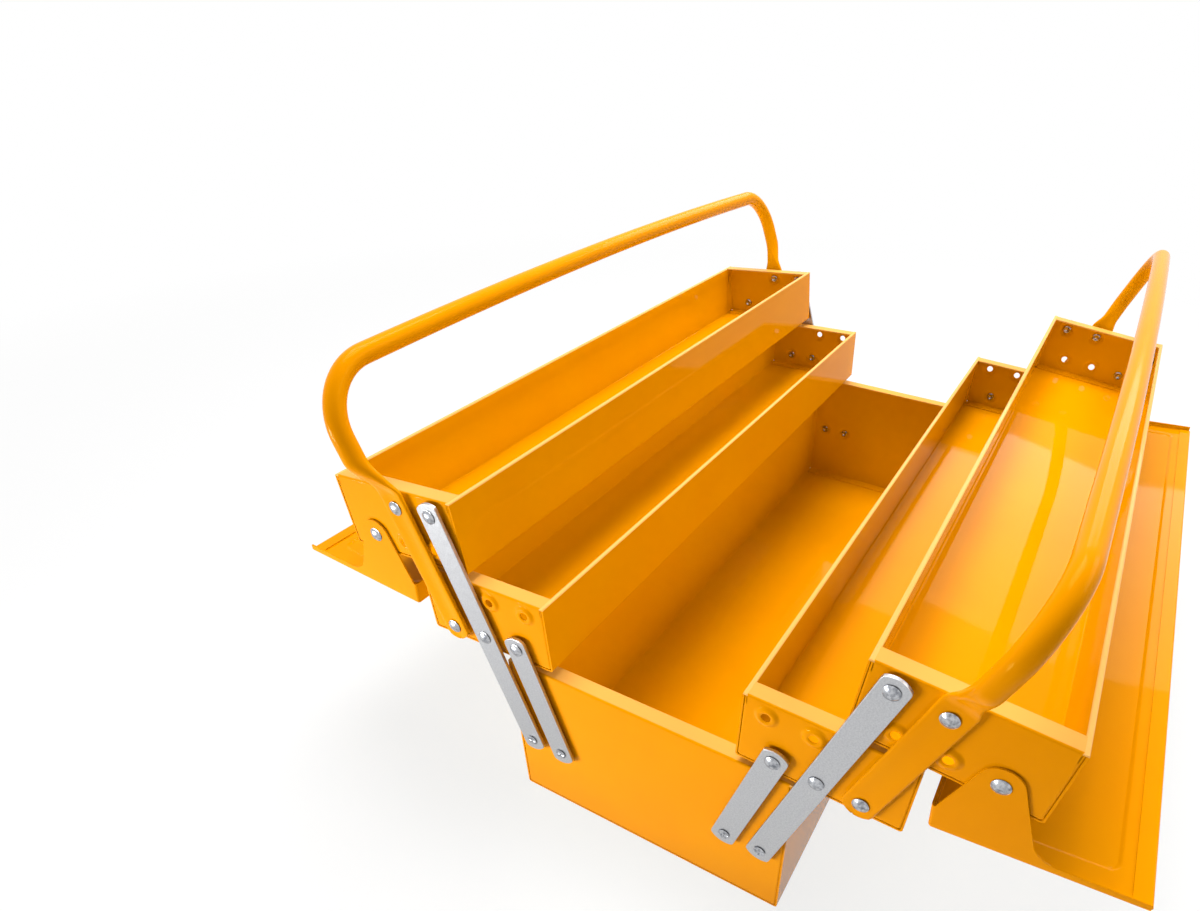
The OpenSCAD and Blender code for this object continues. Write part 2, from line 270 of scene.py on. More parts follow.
@dataclass(frozen=True)
class ZincPlate:
    """Bright zinc plate on blanked strip: pale satin grey, a light grain along the strip, faint mottling."""

    name: str = "zinc_plated_strip_steel"
    colour: str = "#C0C1C3"
    dull: str = "#B0B1B4"
    roughness: float = 0.34
    mottle_size: float = 0.7
    sheen_size: float = 0.6
    # rolling grain is nearer 0.1 mm wide, and is drawn coarser so that it shows
    grain_size: float = 0.5
    grain_depth: float = 0.004
    along: Spot = (1, 1, 0.2)

    def build(self) -> bpy.types.Material:
        """Make the material.

        Returns:
            The finished material.
        """
        material, tree = new_material(self.name)
        # the plate's crystals differ a little in grey
        mottle = patches(tree, self.mottle_size, 4.0, (0.35, 0.65, 0.0, 1.0))
        greys = {"Factor": mottle, 6: linear(self.colour), 7: linear(self.dull)}
        colour = add(tree, "ShaderNodeMix", greys, data_type="RGBA").outputs[2]
        # handling leaves the gloss uneven along the strip
        levels = (0.3, 0.7, self.roughness - 0.04, self.roughness + 0.05)
        rough = patches(tree, self.sheen_size, 3.0, levels, self.along)
        grain = {"Distance": self.grain_depth * MM, "Height": noise(tree, self.grain_size, 3.0, self.along)}
        relief = add(tree, "ShaderNodeBump", {"Strength": 1.0, **grain}).outputs[0]
        surface = add(
            tree, "ShaderNodeBsdfPrincipled",
            {"Base Color": colour, "Metallic": 1.0, "Roughness": rough, "Normal": relief},
        ).outputs[0]
        add(tree, "ShaderNodeOutputMaterial", {"Surface": surface})
        return material


@dataclass(frozen=True)
class RivetSteel:
    """Cold-headed, bright-plated steel: smoother and more mirror-like than the strip it holds."""

    name: str = "cold_headed_plated_steel"
    colour: str = "#BBBDC1"
    dark: str = "#74777E"
    roughness: float = 0.2
    tarnish_size: float = 1.5
    tarnish_rise: float = 0.14
    dent_size: float = 1.1
    dent_depth: float = 0.03

    def build(self) -> bpy.types.Material:
        """Make the material.

        Returns:
            The finished material.
        """
        material, tree = new_material(self.name)
        # the plate darkens and dulls in small patches
        tarnish = patches(tree, self.tarnish_size, 3.0, (0.4, 0.7, 0.0, 1.0))
        greys = {"Factor": tarnish, 6: linear(self.colour), 7: linear(self.dark)}
        colour = add(tree, "ShaderNodeMix", greys, data_type="RGBA").outputs[2]
        dulled = {"Value": tarnish, 3: self.roughness, 4: self.roughness + self.tarnish_rise}
        rough = add(tree, "ShaderNodeMapRange", dulled).outputs[0]
        # heading and setting leave the metal slightly uneven
        dents = {"Distance": self.dent_depth * MM, "Height": noise(tree, self.dent_size, 2.0)}
        relief = add(tree, "ShaderNodeBump", {"Strength": 1.0, **dents}).outputs[0]
        surface = add(
            tree, "ShaderNodeBsdfPrincipled",
            {"Base Color": colour, "Metallic": 1.0, "Roughness": rough, "Normal": relief},
        ).outputs[0]
        add(tree, "ShaderNodeOutputMaterial", {"Surface": surface})
        return material


@dataclass(frozen=True)
class StudioPaper:
    """Matt white backdrop paper: it shows as white to the eye and in reflections, and keeps a soft shadow."""

    name: str = "matt_backdrop_paper"
    colour: str = "#F2F2F2"
    fibre_size: float = 0.8
    glow: float = 0.8
    pool: float = 0.5
    spread: float = 1.1

    def build(self) -> bpy.types.Material:
        """Make the material.

        Returns:
            The finished material.
        """
        material, tree = new_material(self.name)
        fibre = patches(tree, self.fibre_size, 3.0, (0.3, 0.7, 0.9, 1.0))
        paper = add(
            tree, "ShaderNodeBsdfPrincipled",
            {"Base Color": linear(self.colour), "Roughness": fibre, "Specular IOR Level": 0.1},
        ).outputs[0]
        # the paper burns out to plain white away from the box, and keeps its shadow round it
        where = add(tree, "ShaderNodeTexCoord").outputs["Object"]
        far = add(tree, "ShaderNodeVectorMath", {0: where}, operation="LENGTH").outputs["Value"]
        fade = {"Value": far, 1: self.pool, 2: self.spread, 3: self.glow, 4: 1.0}
        level = add(tree, "ShaderNodeMapRange", fade).outputs[0]
        share = add(tree, "ShaderNodeMath", {0: shown(tree), 1: level}, operation="MULTIPLY")
        white = add(tree, "ShaderNodeEmission", {"Color": (1, 1, 1, 1), "Strength": 1.0})
        mixed = add(tree, "ShaderNodeMixShader", {0: share.outputs[0], 1: paper, 2: white.outputs[0]})
        add(tree, "ShaderNodeOutputMaterial", {"Surface": mixed.outputs[0]})
        return material


# ---- drawing in the plane ----


def turned(p: Point, degrees: float) -> Point:
    """Turn a plane point from outward towards up."""
    c, s = math.cos(math.radians(degrees)), math.sin(math.radians(degrees))
    return p[0] * c - p[1] * s, p[0] * s + p[1] * c


def ease(t: float) -> float:
    """Smooth step from 0 to 1."""
    t = min(max(t, 0.0), 1.0)
    return t * t * (3 - 2 * t)


def arc(centre: Point, radius: float, start: float, stop: float, steps: int = 8) -> list[Point]:
    """Draw points along an arc.

    Args:
        centre: The arc's centre.
        radius: The arc's radius.
        start: First angle in degrees.
        stop: Last angle in degrees.
        steps: How many chords.

    Returns:
        The points, both ends included.
    """
    angles = [math.radians(start + (stop - start) * i / steps) for i in range(steps + 1)]
    return [(centre[0] + radius * math.cos(a), centre[1] + radius * math.sin(a)) for a in angles]


def quarter() -> list[float]:
    """Divide a square bend into its steps, in radians."""
    return [math.radians(90 * i / BEND_STEPS) for i in range(BEND_STEPS + 1)]


def ring(centre: Point, radius: float, steps: int = 32) -> list[Point]:
    """Draw a closed circle, without repeating its first point."""
    return arc(centre, radius, 0, 360, steps)[:-1]


def filled(
    outline: Sequence[Point], holes: Sequence[Sequence[Point]] = (), loose: Sequence[Point] = ()
) -> tuple[list[Point], list[list[int]]]:
    """Fill an outline that has holes with triangles.

    Args:
        outline: The outer loop.
        holes: The inner loops.
        loose: Single points inside that keep the triangles from running long and thin.

    Returns:
        The points and the triangles between them, wound from u towards v.
    """
    loops = [list(outline), *map(list, holes)]
    points = [Vector(p) for loop in [*loops, loose] for p in loop]
    edges, start = [], 0
    for loop in loops:
        edges += [(start + i, start + (i + 1) % len(loop)) for i in range(len(loop))]
        start += len(loop)
    made, _, faces, _, _, _ = delaunay_2d_cdt(points, edges, [], 1, 1e-6)
    kept = []
    for face in faces:
        u = sum(made[i].x for i in face) / len(face)
        v = sum(made[i].y for i in face) / len(face)
        if any(inside((u, v), hole) for hole in holes):
            continue
        area = sum(made[a].cross(made[b]) for a, b in zip(face, [*face[1:], face[0]]))
        kept.append(list(face) if area > 0 else list(reversed(face)))
    return [(p.x, p.y) for p in made], kept


def inside(p: Point, loop: Sequence[Point]) -> bool:
    """Say whether a point lies inside a closed loop.

    Args:
        p: The point.
        loop: The loop's points.

    Returns:
        True if it does.
    """
    odd = False
    for (u0, v0), (u1, v1) in zip(loop, [*loop[1:], loop[0]]):
        if (v0 > p[1]) != (v1 > p[1]) and p[0] < (u1 - u0) * (p[1] - v0) / (v1 - v0) + u0:
            odd = not odd
    return odd


# ---- making meshes ----


@dataclass
class Form:
    """A mesh under construction: corners as (x, u, v) in millimetres, and faces."""

    corners: list[Spot] = field(default_factory=list)
    faces: list[list[int]] = field(default_factory=list)

    def put(self, corners: Sequence[Spot], faces: Sequence[Sequence[int]]) -> None:
        """Add loose corners and the faces between them."""
        start = len(self.corners)
        self.corners += corners
        self.faces += [[start + i for i in face] for face in faces]

    def grid(self, rows: Sequence[Sequence[Spot]], closed: bool = False) -> None:
        """Add a sheet of quads between rows of points.

        Args:
            rows: Rows of equally many points.
            closed: True where each row is a loop.
        """
        wide = len(rows[0])
        last = wide if closed else wide - 1
        faces = [
            [r * wide + c, r * wide + (c + 1) % wide, (r + 1) * wide + (c + 1) % wide, (r + 1) * wide + c]
            for r in range(len(rows) - 1)
            for c in range(last)
        ]
        self.put([p for row in rows for p in row], faces)

    def object(self, name: str, place: Matrix, merge: float = 0.01) -> bpy.types.Object:
        """Make a Blender object of the form, with its place in its mesh.

        Args:
            name: The object's name.
            place: From millimetres in the part's plane to metres in the shared frame.
            merge: Corners closer than this many millimetres become one.

        Returns:
            The object, linked to the scene.
        """
        mesh = bpy.data.meshes.new(name)
        mesh.from_pydata(self.corners, [], self.faces)
        work = bmesh.new()
        work.from_mesh(mesh)
        bmesh.ops.remove_doubles(work, verts=work.verts, dist=merge)
        bmesh.ops.dissolve_degenerate(work, edges=work.edges, dist=merge / 10)
        # the first face drawn shows which side is outside, and the others follow it
        work.normal_update()
        work.faces.ensure_lookup_table()
        outward = work.faces[0].normal.copy()
        bmesh.ops.recalc_face_normals(work, faces=work.faces)
        if work.faces[0].normal.dot(outward) < 0:
            bmesh.ops.reverse_faces(work, faces=work.faces)
        work.to_mesh(mesh)
        work.free()
        mesh.transform(place)
        if place.determinant() < 0:
            mesh.flip_normals()
        thing = bpy.data.objects.new(name, mesh)
        bpy.context.scene.collection.objects.link(thing)
        return thing


def settle(thing: bpy.types.Object, plain: bool = False) -> bpy.types.Object:
    """Turn an object and its modifiers into one plain mesh with soft shading on its bends.

    Args:
        thing: The object.
        plain: True for a blanked strip, whose two faces square to X shade dead flat.

    Returns:
        The same object.
    """
    bpy.context.view_layer.update()
    graph = bpy.context.evaluated_depsgraph_get()
    mesh = bpy.data.meshes.new_from_object(thing.evaluated_get(graph), depsgraph=graph)
    thing.modifiers.clear()
    thing.data = mesh
    mesh.shade_smooth()
    mesh.set_sharp_from_angle(angle=SMOOTH_ANGLE)
    if plain:
        mesh.polygons.foreach_set("use_smooth", [abs(face.normal.x) < 0.999 for face in mesh.polygons])
    # large flat faces keep their own direction, and only the bends between them shade round
    flat = thing.modifiers.new("flat_faces", "WEIGHTED_NORMAL")
    flat.keep_sharp = True
    bpy.context.view_layer.update()
    graph = bpy.context.evaluated_depsgraph_get()
    thing.data = bpy.data.meshes.new_from_object(thing.evaluated_get(graph), depsgraph=graph)
    thing.modifiers.clear()
    return thing


def thicken(thing: bpy.types.Object, sheet: float) -> None:
    """Give an open skin its sheet thickness, inwards from its face."""
    wall = thing.modifiers.new("sheet", "SOLIDIFY")
    wall.thickness = sheet * MM
    wall.offset = -1
    wall.use_even_offset = True


def dress(thing: bpy.types.Object, finish: bpy.types.Material, body: str, slot: str, *nodes: str) -> None:
    """Finish a piece, hang it on its body and let it stand for its CAD nodes.

    Args:
        thing: The piece.
        finish: Its material.
        body: The CAD body that carries it.
        slot: The record's material slot; not used.
        *nodes: The CAD nodes that it stands for.
    """
    thing.data.materials.clear()
    thing.data.materials.append(finish)
    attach(thing, body)
    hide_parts(*nodes)
    LOG.info("%s: %d faces on %s", thing.name, len(thing.data.polygons), body)


def plane(side: Side, corner: Point, tilt: float) -> Matrix:
    """Place a part's plane in the shared frame.

    Args:
        side: The half of the box.
        corner: Where the part's origin lies, outward and up, in millimetres.
        tilt: Its turn in degrees, from outward towards up.

    Returns:
        The matrix from millimetres in the plane to metres in the frame.
    """
    flip = Matrix.Diagonal((1, side.value, 1, 1))
    turn = Matrix.Rotation(math.radians(tilt), 4, "X")
    return Matrix.Scale(MM, 4) @ flip @ Matrix.Translation((0, *corner)) @ turn


def facing(end: End) -> Matrix:
    """Turn a piece drawn for the rear end to its own end."""
    return Matrix.Diagonal((end.value, 1, 1, 1))


# ---- the parts ----


@dataclass(frozen=True)
class Sizes:
    """The box's own sizes, shared by its parts."""

    half: float = 202.0
    base_w: float = 150.0
    base_h: float = 92.4
    tray_w: float = 72.6
    tray_h: float = 37.4
    sheet: float = 0.8
    hem: float = 5.0
    boss_h: float = 1.2
    short_u: float = 17.5
    mid_u: float = 36.5
    foot_u: float = 55.1
    top_u: float = 11.1
    grip_u: float = 31.3
    low_v: float = 9.2
    high_v: float = 30.1
    lid_turn: float = 170.4
    slip: float = 0.2
    # left between faces that lie on each other, so that neither shows through
    fit: float = 0.02
    ear_gap: float = 0.4
    link_t: float = 1.8
    foot_t: float = 2.0
    foot_gap: float = 0.1

    @property
    def short(self) -> Point:
        """Pivot of the short link on a tray end."""
        return self.short_u, self.low_v

    @property
    def mid(self) -> Point:
        """Middle pivot of the long link on a tray end."""
        return self.mid_u, self.low_v

    @property
    def foot(self) -> Point:
        """Pivot of the handle's foot, and of the lid one tray up."""
        return self.foot_u, self.low_v

    @property
    def top(self) -> Point:
        """Top pivot of the long link on a tray end."""
        return self.top_u, self.high_v

    @property
    def grip(self) -> Point:
        """Upper pivot of the handle on a tray end."""
        return self.grip_u, self.high_v

    @property
    def link_x(self) -> float:
        """Inner face of the links."""
        return self.half + self.boss_h + self.slip

    @property
    def foot_x(self) -> float:
        """Inner face of the handles' feet."""
        return self.link_x + self.foot_gap


@dataclass
class Stance:
    """Where one side's trays, links and handle stand when the box is open, from its joints."""

    side: Side
    sizes: Sizes

    def __post_init__(self) -> None:
        """Work out every pose from the joints' places."""
        at = {}
        for joint in frame["joints"]:
            side, _, what = joint["name"].partition("_")
            if side == self.name:
                _, across, up = joint["pos_m"]
                at[what] = Vector((abs(across), up)) / MM
        s = self.sizes
        self.base_long, self.base_short = at["fold"], at["short_link"]
        mid, top, heel, lid = at["mid_tray_turn"], at["top_tray_turn"], at["handle_turn"], at["lid_turn"]
        self.mid_tilt = math.degrees(math.atan2(heel.y - mid.y, heel.x - mid.x))
        lean = math.atan2(s.low_v - s.high_v, s.foot_u - s.top_u)
        self.top_tilt = math.degrees(math.atan2(lid.y - top.y, lid.x - top.x) - lean)
        self.mid_corner = mid - Vector(turned(s.mid, self.mid_tilt))
        self.top_corner = top - Vector(turned(s.top, self.top_tilt))
        self.heel = heel
        self.arm = (mid - self.base_long).length
        self.long_lean = self.leaning(self.base_long, mid)
        short = self.mid_corner + Vector(turned(s.short, self.mid_tilt))
        self.short_arm = (short - self.base_short).length
        self.short_lean = self.leaning(self.base_short, short)
        grip = self.top_corner + Vector(turned(s.grip, self.top_tilt))
        self.foot_arm = (grip - heel).length
        self.foot_lean = self.leaning(heel, grip)

    @property
    def name(self) -> str:
        """The side's name in the frame."""
        return self.side.name.lower()

    @staticmethod
    def leaning(low: Vector, high: Vector) -> float:
        """Lean in degrees from upright of the line between two pivots."""
        return math.degrees(math.atan2(high.x - low.x, high.y - low.y))

    def mid_plane(self) -> Matrix:
        """The middle tray's plane."""
        return plane(self.side, self.mid_corner, self.mid_tilt)

    def top_plane(self) -> Matrix:
        """The top tray's plane."""
        return plane(self.side, self.top_corner, self.top_tilt)

    def lid_plane(self) -> Matrix:
        """The lid's plane, turned over about its pivot on the top tray."""
        u, v = self.sizes.foot
        turn = Matrix.Rotation(math.radians(-self.sizes.lid_turn), 4, "X")
        return self.top_plane() @ Matrix.Translation((0, u, v)) @ turn @ Matrix.Translation((0, -u, -v))


def fold_tree() -> bpy.types.NodeTree:
    """Build the Geometry Nodes tree that rounds a fold line and draws it out into a long bent sheet.

    Returns:
        The tree, with the inputs Geometry, Length, Bend steps and Finish.
    """
    tree = bpy.data.node_groups.new("folded_sheet", "GeometryNodeTree")
    face = tree.interface
    face.new_socket("Geometry", in_out="OUTPUT", socket_type="NodeSocketGeometry")
    face.new_socket("Geometry", in_out="INPUT", socket_type="NodeSocketGeometry")
    face.new_socket("Length", in_out="INPUT", socket_type="NodeSocketFloat")
    face.new_socket("Bend steps", in_out="INPUT", socket_type="NodeSocketInt")
    face.new_socket("Finish", in_out="INPUT", socket_type="NodeSocketMaterial")
    given = add(tree, "NodeGroupInput").outputs
    line = add(tree, "GeometryNodeMeshToCurve", {"Mesh": given["Geometry"]}).outputs[0]
    radius = add(tree, "GeometryNodeInputNamedAttribute", {"Name": "bend"}, data_type="FLOAT").outputs[0]
    bent = add(
        tree, "GeometryNodeFilletCurve",
        {"Curve": line, "Count": given["Bend steps"], "Radius": radius, "Limit Radius": True}, mode="POLY",
    ).outputs[0]
    wire = add(tree, "GeometryNodeCurveToMesh", {"Curve": bent}).outputs[0]
    back = add(tree, "ShaderNodeMath", {0: given["Length"], 1: -0.5}, operation="MULTIPLY").outputs[0]
    start = add(tree, "ShaderNodeCombineXYZ", {"X": back}).outputs[0]
    reach = add(tree, "ShaderNodeCombineXYZ", {"X": given["Length"]}).outputs[0]
    moved = add(tree, "GeometryNodeTransform", {"Geometry": wire, "Translation": start}).outputs[0]
    drawn = add(
        tree, "GeometryNodeExtrudeMesh", {"Mesh": moved, "Offset": reach, "Offset Scale": 1.0}, mode="EDGES"
    ).outputs[0]
    real = add(tree, "GeometryNodeRealizeInstances", {"Geometry": drawn}).outputs[0]
    done = add(tree, "GeometryNodeSetMaterial", {"Geometry": real, "Material": given["Finish"]}).outputs[0]
    add(tree, "NodeGroupOutput", {0: done})
    return tree


def grow(thing: bpy.types.Object, tree: bpy.types.NodeTree, values: dict[str, Any]) -> None:
    """Put a Geometry Nodes tree on an object and set its inputs by their identifiers.

    Args:
        thing: The object that carries the tree.
        tree: The tree.
        values: Input name and value.
    """
    worker = thing.modifiers.new(tree.name, "NODES")
    worker.node_group = tree
    for item in tree.interface.items_tree:
        if item.item_type == "SOCKET" and item.in_out == "INPUT" and item.name in values:
            worker[item.identifier] = values[item.name]


@dataclass
class Trough:
    """Floor and two long walls folded from one sheet, with a flattened hem along each rim."""

    name: str
    node: str
    body: str
    width: float
    height: float
    sizes: Sizes
    bend: float = 1.5
    crease: float = 0.6
    worn: float = 0.9
    rolled: float = 2.1
    bend_steps: int = 5
    # strength of the highlight painted along the rims
    painted_highlight: float = 0.7

    def build(self, tree: bpy.types.NodeTree, place: Matrix, finish: bpy.types.Material) -> None:
        """Draw the fold line, grow it into a sheet and dress it.

        Args:
            tree: The folded-sheet tree.
            place: The tray's plane.
            finish: The paint.
        """
        s, w, h = self.sizes, self.width, self.height
        low, roll = h - s.hem, self.rolled
        lip = h - self.worn
        line = [(roll, low), (roll, lip), (roll, h), (0, h), (0, lip), (0, 0)]
        bends = [0, 0, self.crease, self.crease, 0, self.bend]
        line += [(w - u, v) for u, v in reversed(line)]
        bends += reversed(bends)
        mesh = bpy.data.meshes.new(self.name)
        mesh.from_pydata([(0, u, v) for u, v in line], [(i, i + 1) for i in range(len(line) - 1)], [])
        mesh.attributes.new("bend", "FLOAT", "POINT").data.foreach_set("value", bends)
        # only the rim itself takes the painted highlight, and the points just below it keep the walls clear
        painted_highlight = [self.painted_highlight * (v == h) for _, v in line]
        mesh.attributes.new("rim", "FLOAT", "POINT").data.foreach_set("value", painted_highlight)
        thing = bpy.data.objects.new(self.name, mesh)
        bpy.context.scene.collection.objects.link(thing)
        grow(thing, tree, {"Length": 2 * s.half, "Bend steps": self.bend_steps, "Finish": finish})
        settle(thing)
        thing.data.transform(place)
        if place.determinant() > 0:
            thing.data.flip_normals()
        thicken(thing, s.sheet - s.fit)
        dress(settle(thing), finish, self.body, "painted_sheet", self.node)


@dataclass
class EndPlate:
    """Pressed end of a tray or of the base: flanges turned in all round and a soft boss round each pivot."""

    name: str
    node: str
    body: str
    width: float
    height: float
    bossed: Sequence[Point]
    plain: Sequence[Point]
    sizes: Sizes
    bend: float = 1.0
    flange: float = 8.0
    hem_gap: float = 0.5
    # strength of the highlight painted along the top flange
    painted_highlight: float = 0.45
    hole: float = 2.05
    # a boss from its hole outwards: radius, and height as a share of the full one
    boss: Sequence[Point] = (
        (2.05, 0.72), (2.35, 0.86), (2.8, 0.97), (3.3, 1.0), (3.8, 0.9),
        (4.3, 0.66), (4.8, 0.36), (5.3, 0.12), (5.9, 0.0),
    )

    def skin(self) -> Form:
        """Draw the outer skin at the rear end.

        Returns:
            The open skin, facing outwards.
        """
        s, r = self.sizes, self.bend
        u0, u1 = s.sheet + s.fit, self.width - s.sheet - s.fit
        v0, v1 = s.sheet + s.fit, self.height
        form = Form()
        panel = [(u0 + r, v0 + r), (u1 - r, v0 + r), (u1 - r, v1 - r), (u0 + r, v1 - r)]
        holes = [ring(p, self.boss[-1][0]) for p in self.bossed] + [ring(p, self.hole) for p in self.plain]
        points, faces = filled(panel, holes)
        form.put([(s.half, u, v) for u, v in points], faces)
        for p in self.bossed:
            rings = [[(s.half + up * s.boss_h, u, v) for u, v in ring(p, wide)] for wide, up in self.boss]
            form.grid(rings, closed=True)
        inner = v1 - s.hem - self.hem_gap
        for (a, b), way, low in (
            (((u1 - r, v1 - r), (u0 + r, v1 - r)), (0, 1), None),
            (((u0 + r, v0 + r), (u1 - r, v0 + r)), (0, -1), None),
            (((u0 + r, v1 - r), (u0 + r, v0 + r)), (-1, 0), inner),
            (((u1 - r, v0 + r), (u1 - r, v1 - r)), (1, 0), inner),
        ):
            rows = []
            for t in quarter():
                out, back = r * math.sin(t), r * (1 - math.cos(t))
                rows.append([(s.half - back, p[0] + way[0] * out, p[1] + way[1] * out) for p in (a, b)])
            form.grid(rows)
            tip = [(x, u, v if low is None else min(v, low)) for x, u, v in rows[-1]]
            form.grid([tip, [(s.half - self.flange, u, v) for _, u, v in tip]])
        return form

    def build(self, place: Matrix, end: End, finish: bpy.types.Material) -> None:
        """Make the plate at its end and dress it.

        Args:
            place: The tray's plane.
            end: The end of the box.
            finish: The paint.
        """
        place = place @ facing(end)
        thing = self.skin().object(self.name, place)
        # the top flange takes the same painted highlight as the rims beside it
        back = place.inverted()
        spots = [back @ corner.co for corner in thing.data.vertices]
        thing.data.attributes.new("rim", "FLOAT", "POINT").data.foreach_set(
            "value", [self.painted_highlight * (p.z > self.height - self.sizes.fit) for p in spots]
        )
        thicken(thing, self.sizes.sheet)
        dress(settle(thing), finish, self.body, "painted_sheet", self.node)


@dataclass
class Lid:
    """Pressed lid of one top tray: outer lip, raised field, folded inner edge, and an ear at each end."""

    side: Side
    sizes: Sizes
    over: float = 5.4
    lip_gap: float = 2.6
    lip: float = 12.6
    inner: float = 0.6
    hem: float = 6.5
    rim: float = 4.0
    ear: float = 8.0
    hole: float = 2.1
    raised: float = 0.8
    ramp: float = 1.8
    edge: float = 11.0
    corner: float = 5.0
    bend: float = 1.5
    # where grid lines run beside the field's edge: close on both sides of it, then wider over the field
    close: Sequence[float] = (-0.9, -0.5, 0.0, 0.5, 0.9)
    fading: Sequence[float] = (1.6, 2.4, 3.4, 4.6, 6.0)
    least: float = 0.35
    strips: int = 12

    def __post_init__(self) -> None:
        """Work out the lid's outer faces."""
        s = self.sizes
        self.far = s.half + s.ear_gap + s.sheet
        self.high = s.tray_h + self.over + s.sheet
        self.out = s.tray_w + self.lip_gap + s.sheet

    def stops(self, low: float, high: float, near: Sequence[float]) -> list[float]:
        """Choose where grid lines run across the lid.

        Args:
            low: First line.
            high: Last line.
            near: Places that need close lines round them.

        Returns:
            The lines in order.
        """
        found = {low, high}
        for place in near:
            found |= {place + d for d in self.close if low < place + d < high}
            inward = 1 if place < (low + high) / 2 else -1
            found |= {place + inward * d for d in self.fading}
        found |= {low + (high - low) * k / self.strips for k in range(1, self.strips)}
        lines = sorted(found)
        last = len(lines) - 1
        return [x for i, x in enumerate(lines) if i in (0, last) or x - lines[i - 1] > self.least]

    def rise(self, x: float, u: float) -> float:
        """Height of the raised field at a point of the panel.

        Args:
            x: Along the box.
            u: Outward.

        Returns:
            The height in millimetres.
        """
        middle = (self.inner + self.out) / 2
        half_x, half_u = self.far - self.edge, self.out - self.edge - middle
        dx, du = abs(x) - half_x + self.corner, abs(u - middle) - half_u + self.corner
        gap = math.hypot(max(dx, 0), max(du, 0)) + min(max(dx, du), 0) - self.corner
        return self.raised * ease(0.5 - gap / self.ramp)

    def flange(self, tops: Sequence[Point], sides: Sequence[Point]) -> tuple[list[Point], list[list[int]]]:
        """Draw the end flange: the ear and its run-outs into the rim.

        Args:
            tops: Points of the bend line along the panel, inner end first.
            sides: Points of the bend line down the lip, upper end first.

        Returns:
            Points and faces in the plane.
        """
        s = self.sizes
        e, g = Vector(s.foot), Vector(s.grip)
        clear = self.high - self.rim - g.y
        way = math.degrees(math.atan2(g.y - e.y, g.x - e.x))
        side = way + math.degrees(math.acos((self.ear + clear) / (g - e).length))
        foot = Vector(sides[-1])
        lean = math.degrees(math.atan2(foot.y - e.y, foot.x - e.x) - math.acos(self.ear / (foot - e).length))
        outline = [
            *tops, *sides[1:],
            *arc(tuple(e), self.ear, lean + 360, side, 24),
            *arc(tuple(g), clear, side - 180, 90, 16),
            (tops[0][0], self.high - self.rim),
        ]
        return filled(list(reversed(outline)), [ring(s.foot, self.hole, 24)])

    def skin(self) -> Form:
        """Draw the lid's outer skin.

        Returns:
            The open skin, facing outwards.
        """
        s, r, c = self.sizes, self.bend, self.out - self.bend
        roll = s.sheet
        under = self.high - 2 * roll
        edges_u = [self.inner + self.edge, self.out - self.edge]
        flat = self.stops(self.inner + roll, c, edges_u)
        rolled = arc((self.inner + roll, self.high - roll), roll, 270, 90)
        fold = [(self.inner + self.hem, under), *rolled[:-1]]
        lip = [(self.out, self.high - r - (self.lip - r) * k / 3) for k in range(1, 4)]
        ends = self.far - r
        edge_x = self.far - self.edge
        across = self.stops(-ends, ends, [-edge_x, edge_x])
        form = Form()
        rows = []
        for x in across:
            row = [(x, u, v) for u, v in fold]
            row += [(x, u, self.high + self.rise(x, u)) for u in flat]
            row += [(x, u, v) for u, v in arc((c, self.high - r), r, 90, 0, BEND_STEPS)[1:]]
            rows.append(row + [(x, u, v) for u, v in lip])
        form.grid(rows[::-1])
        for sign in (-1, 1):
            bends = []
            for t in quarter():
                x = sign * (ends + r * math.sin(t))
                row = [(x, u, self.high - r + r * math.cos(t)) for u in flat]
                row += [
                    (x, c + math.cos(t) * (u - c), self.high - r + math.cos(t) * (v - self.high + r))
                    for u, v in arc((c, self.high - r), r, 90, 0, BEND_STEPS)[1:]
                ]
                bends.append(row + [(x, c + r * math.cos(t), v) for _, v in lip])
            form.grid(bends if sign > 0 else bends[::-1])
            tops = [(u, self.high - r) for u in flat]
            points, faces = self.flange(tops, [(c, self.high - r)] + [(c, v) for _, v in lip])
            if sign < 0:
                faces = [face[::-1] for face in faces]
            form.put([(sign * self.far, u, v) for u, v in points], faces)
        return form

    def build(self, place: Matrix, finish: bpy.types.Material) -> None:
        """Make the lid and dress it.

        Args:
            place: The lid's plane.
            finish: The paint.
        """
        name = self.side.name.lower()
        thing = self.skin().object(f"pressed_lid_{name}", place, merge=0.02)
        thicken(thing, self.sizes.sheet - self.sizes.fit)
        dress(settle(thing), finish, f"{name}_lid", "painted_sheet", f"lid_{name}")


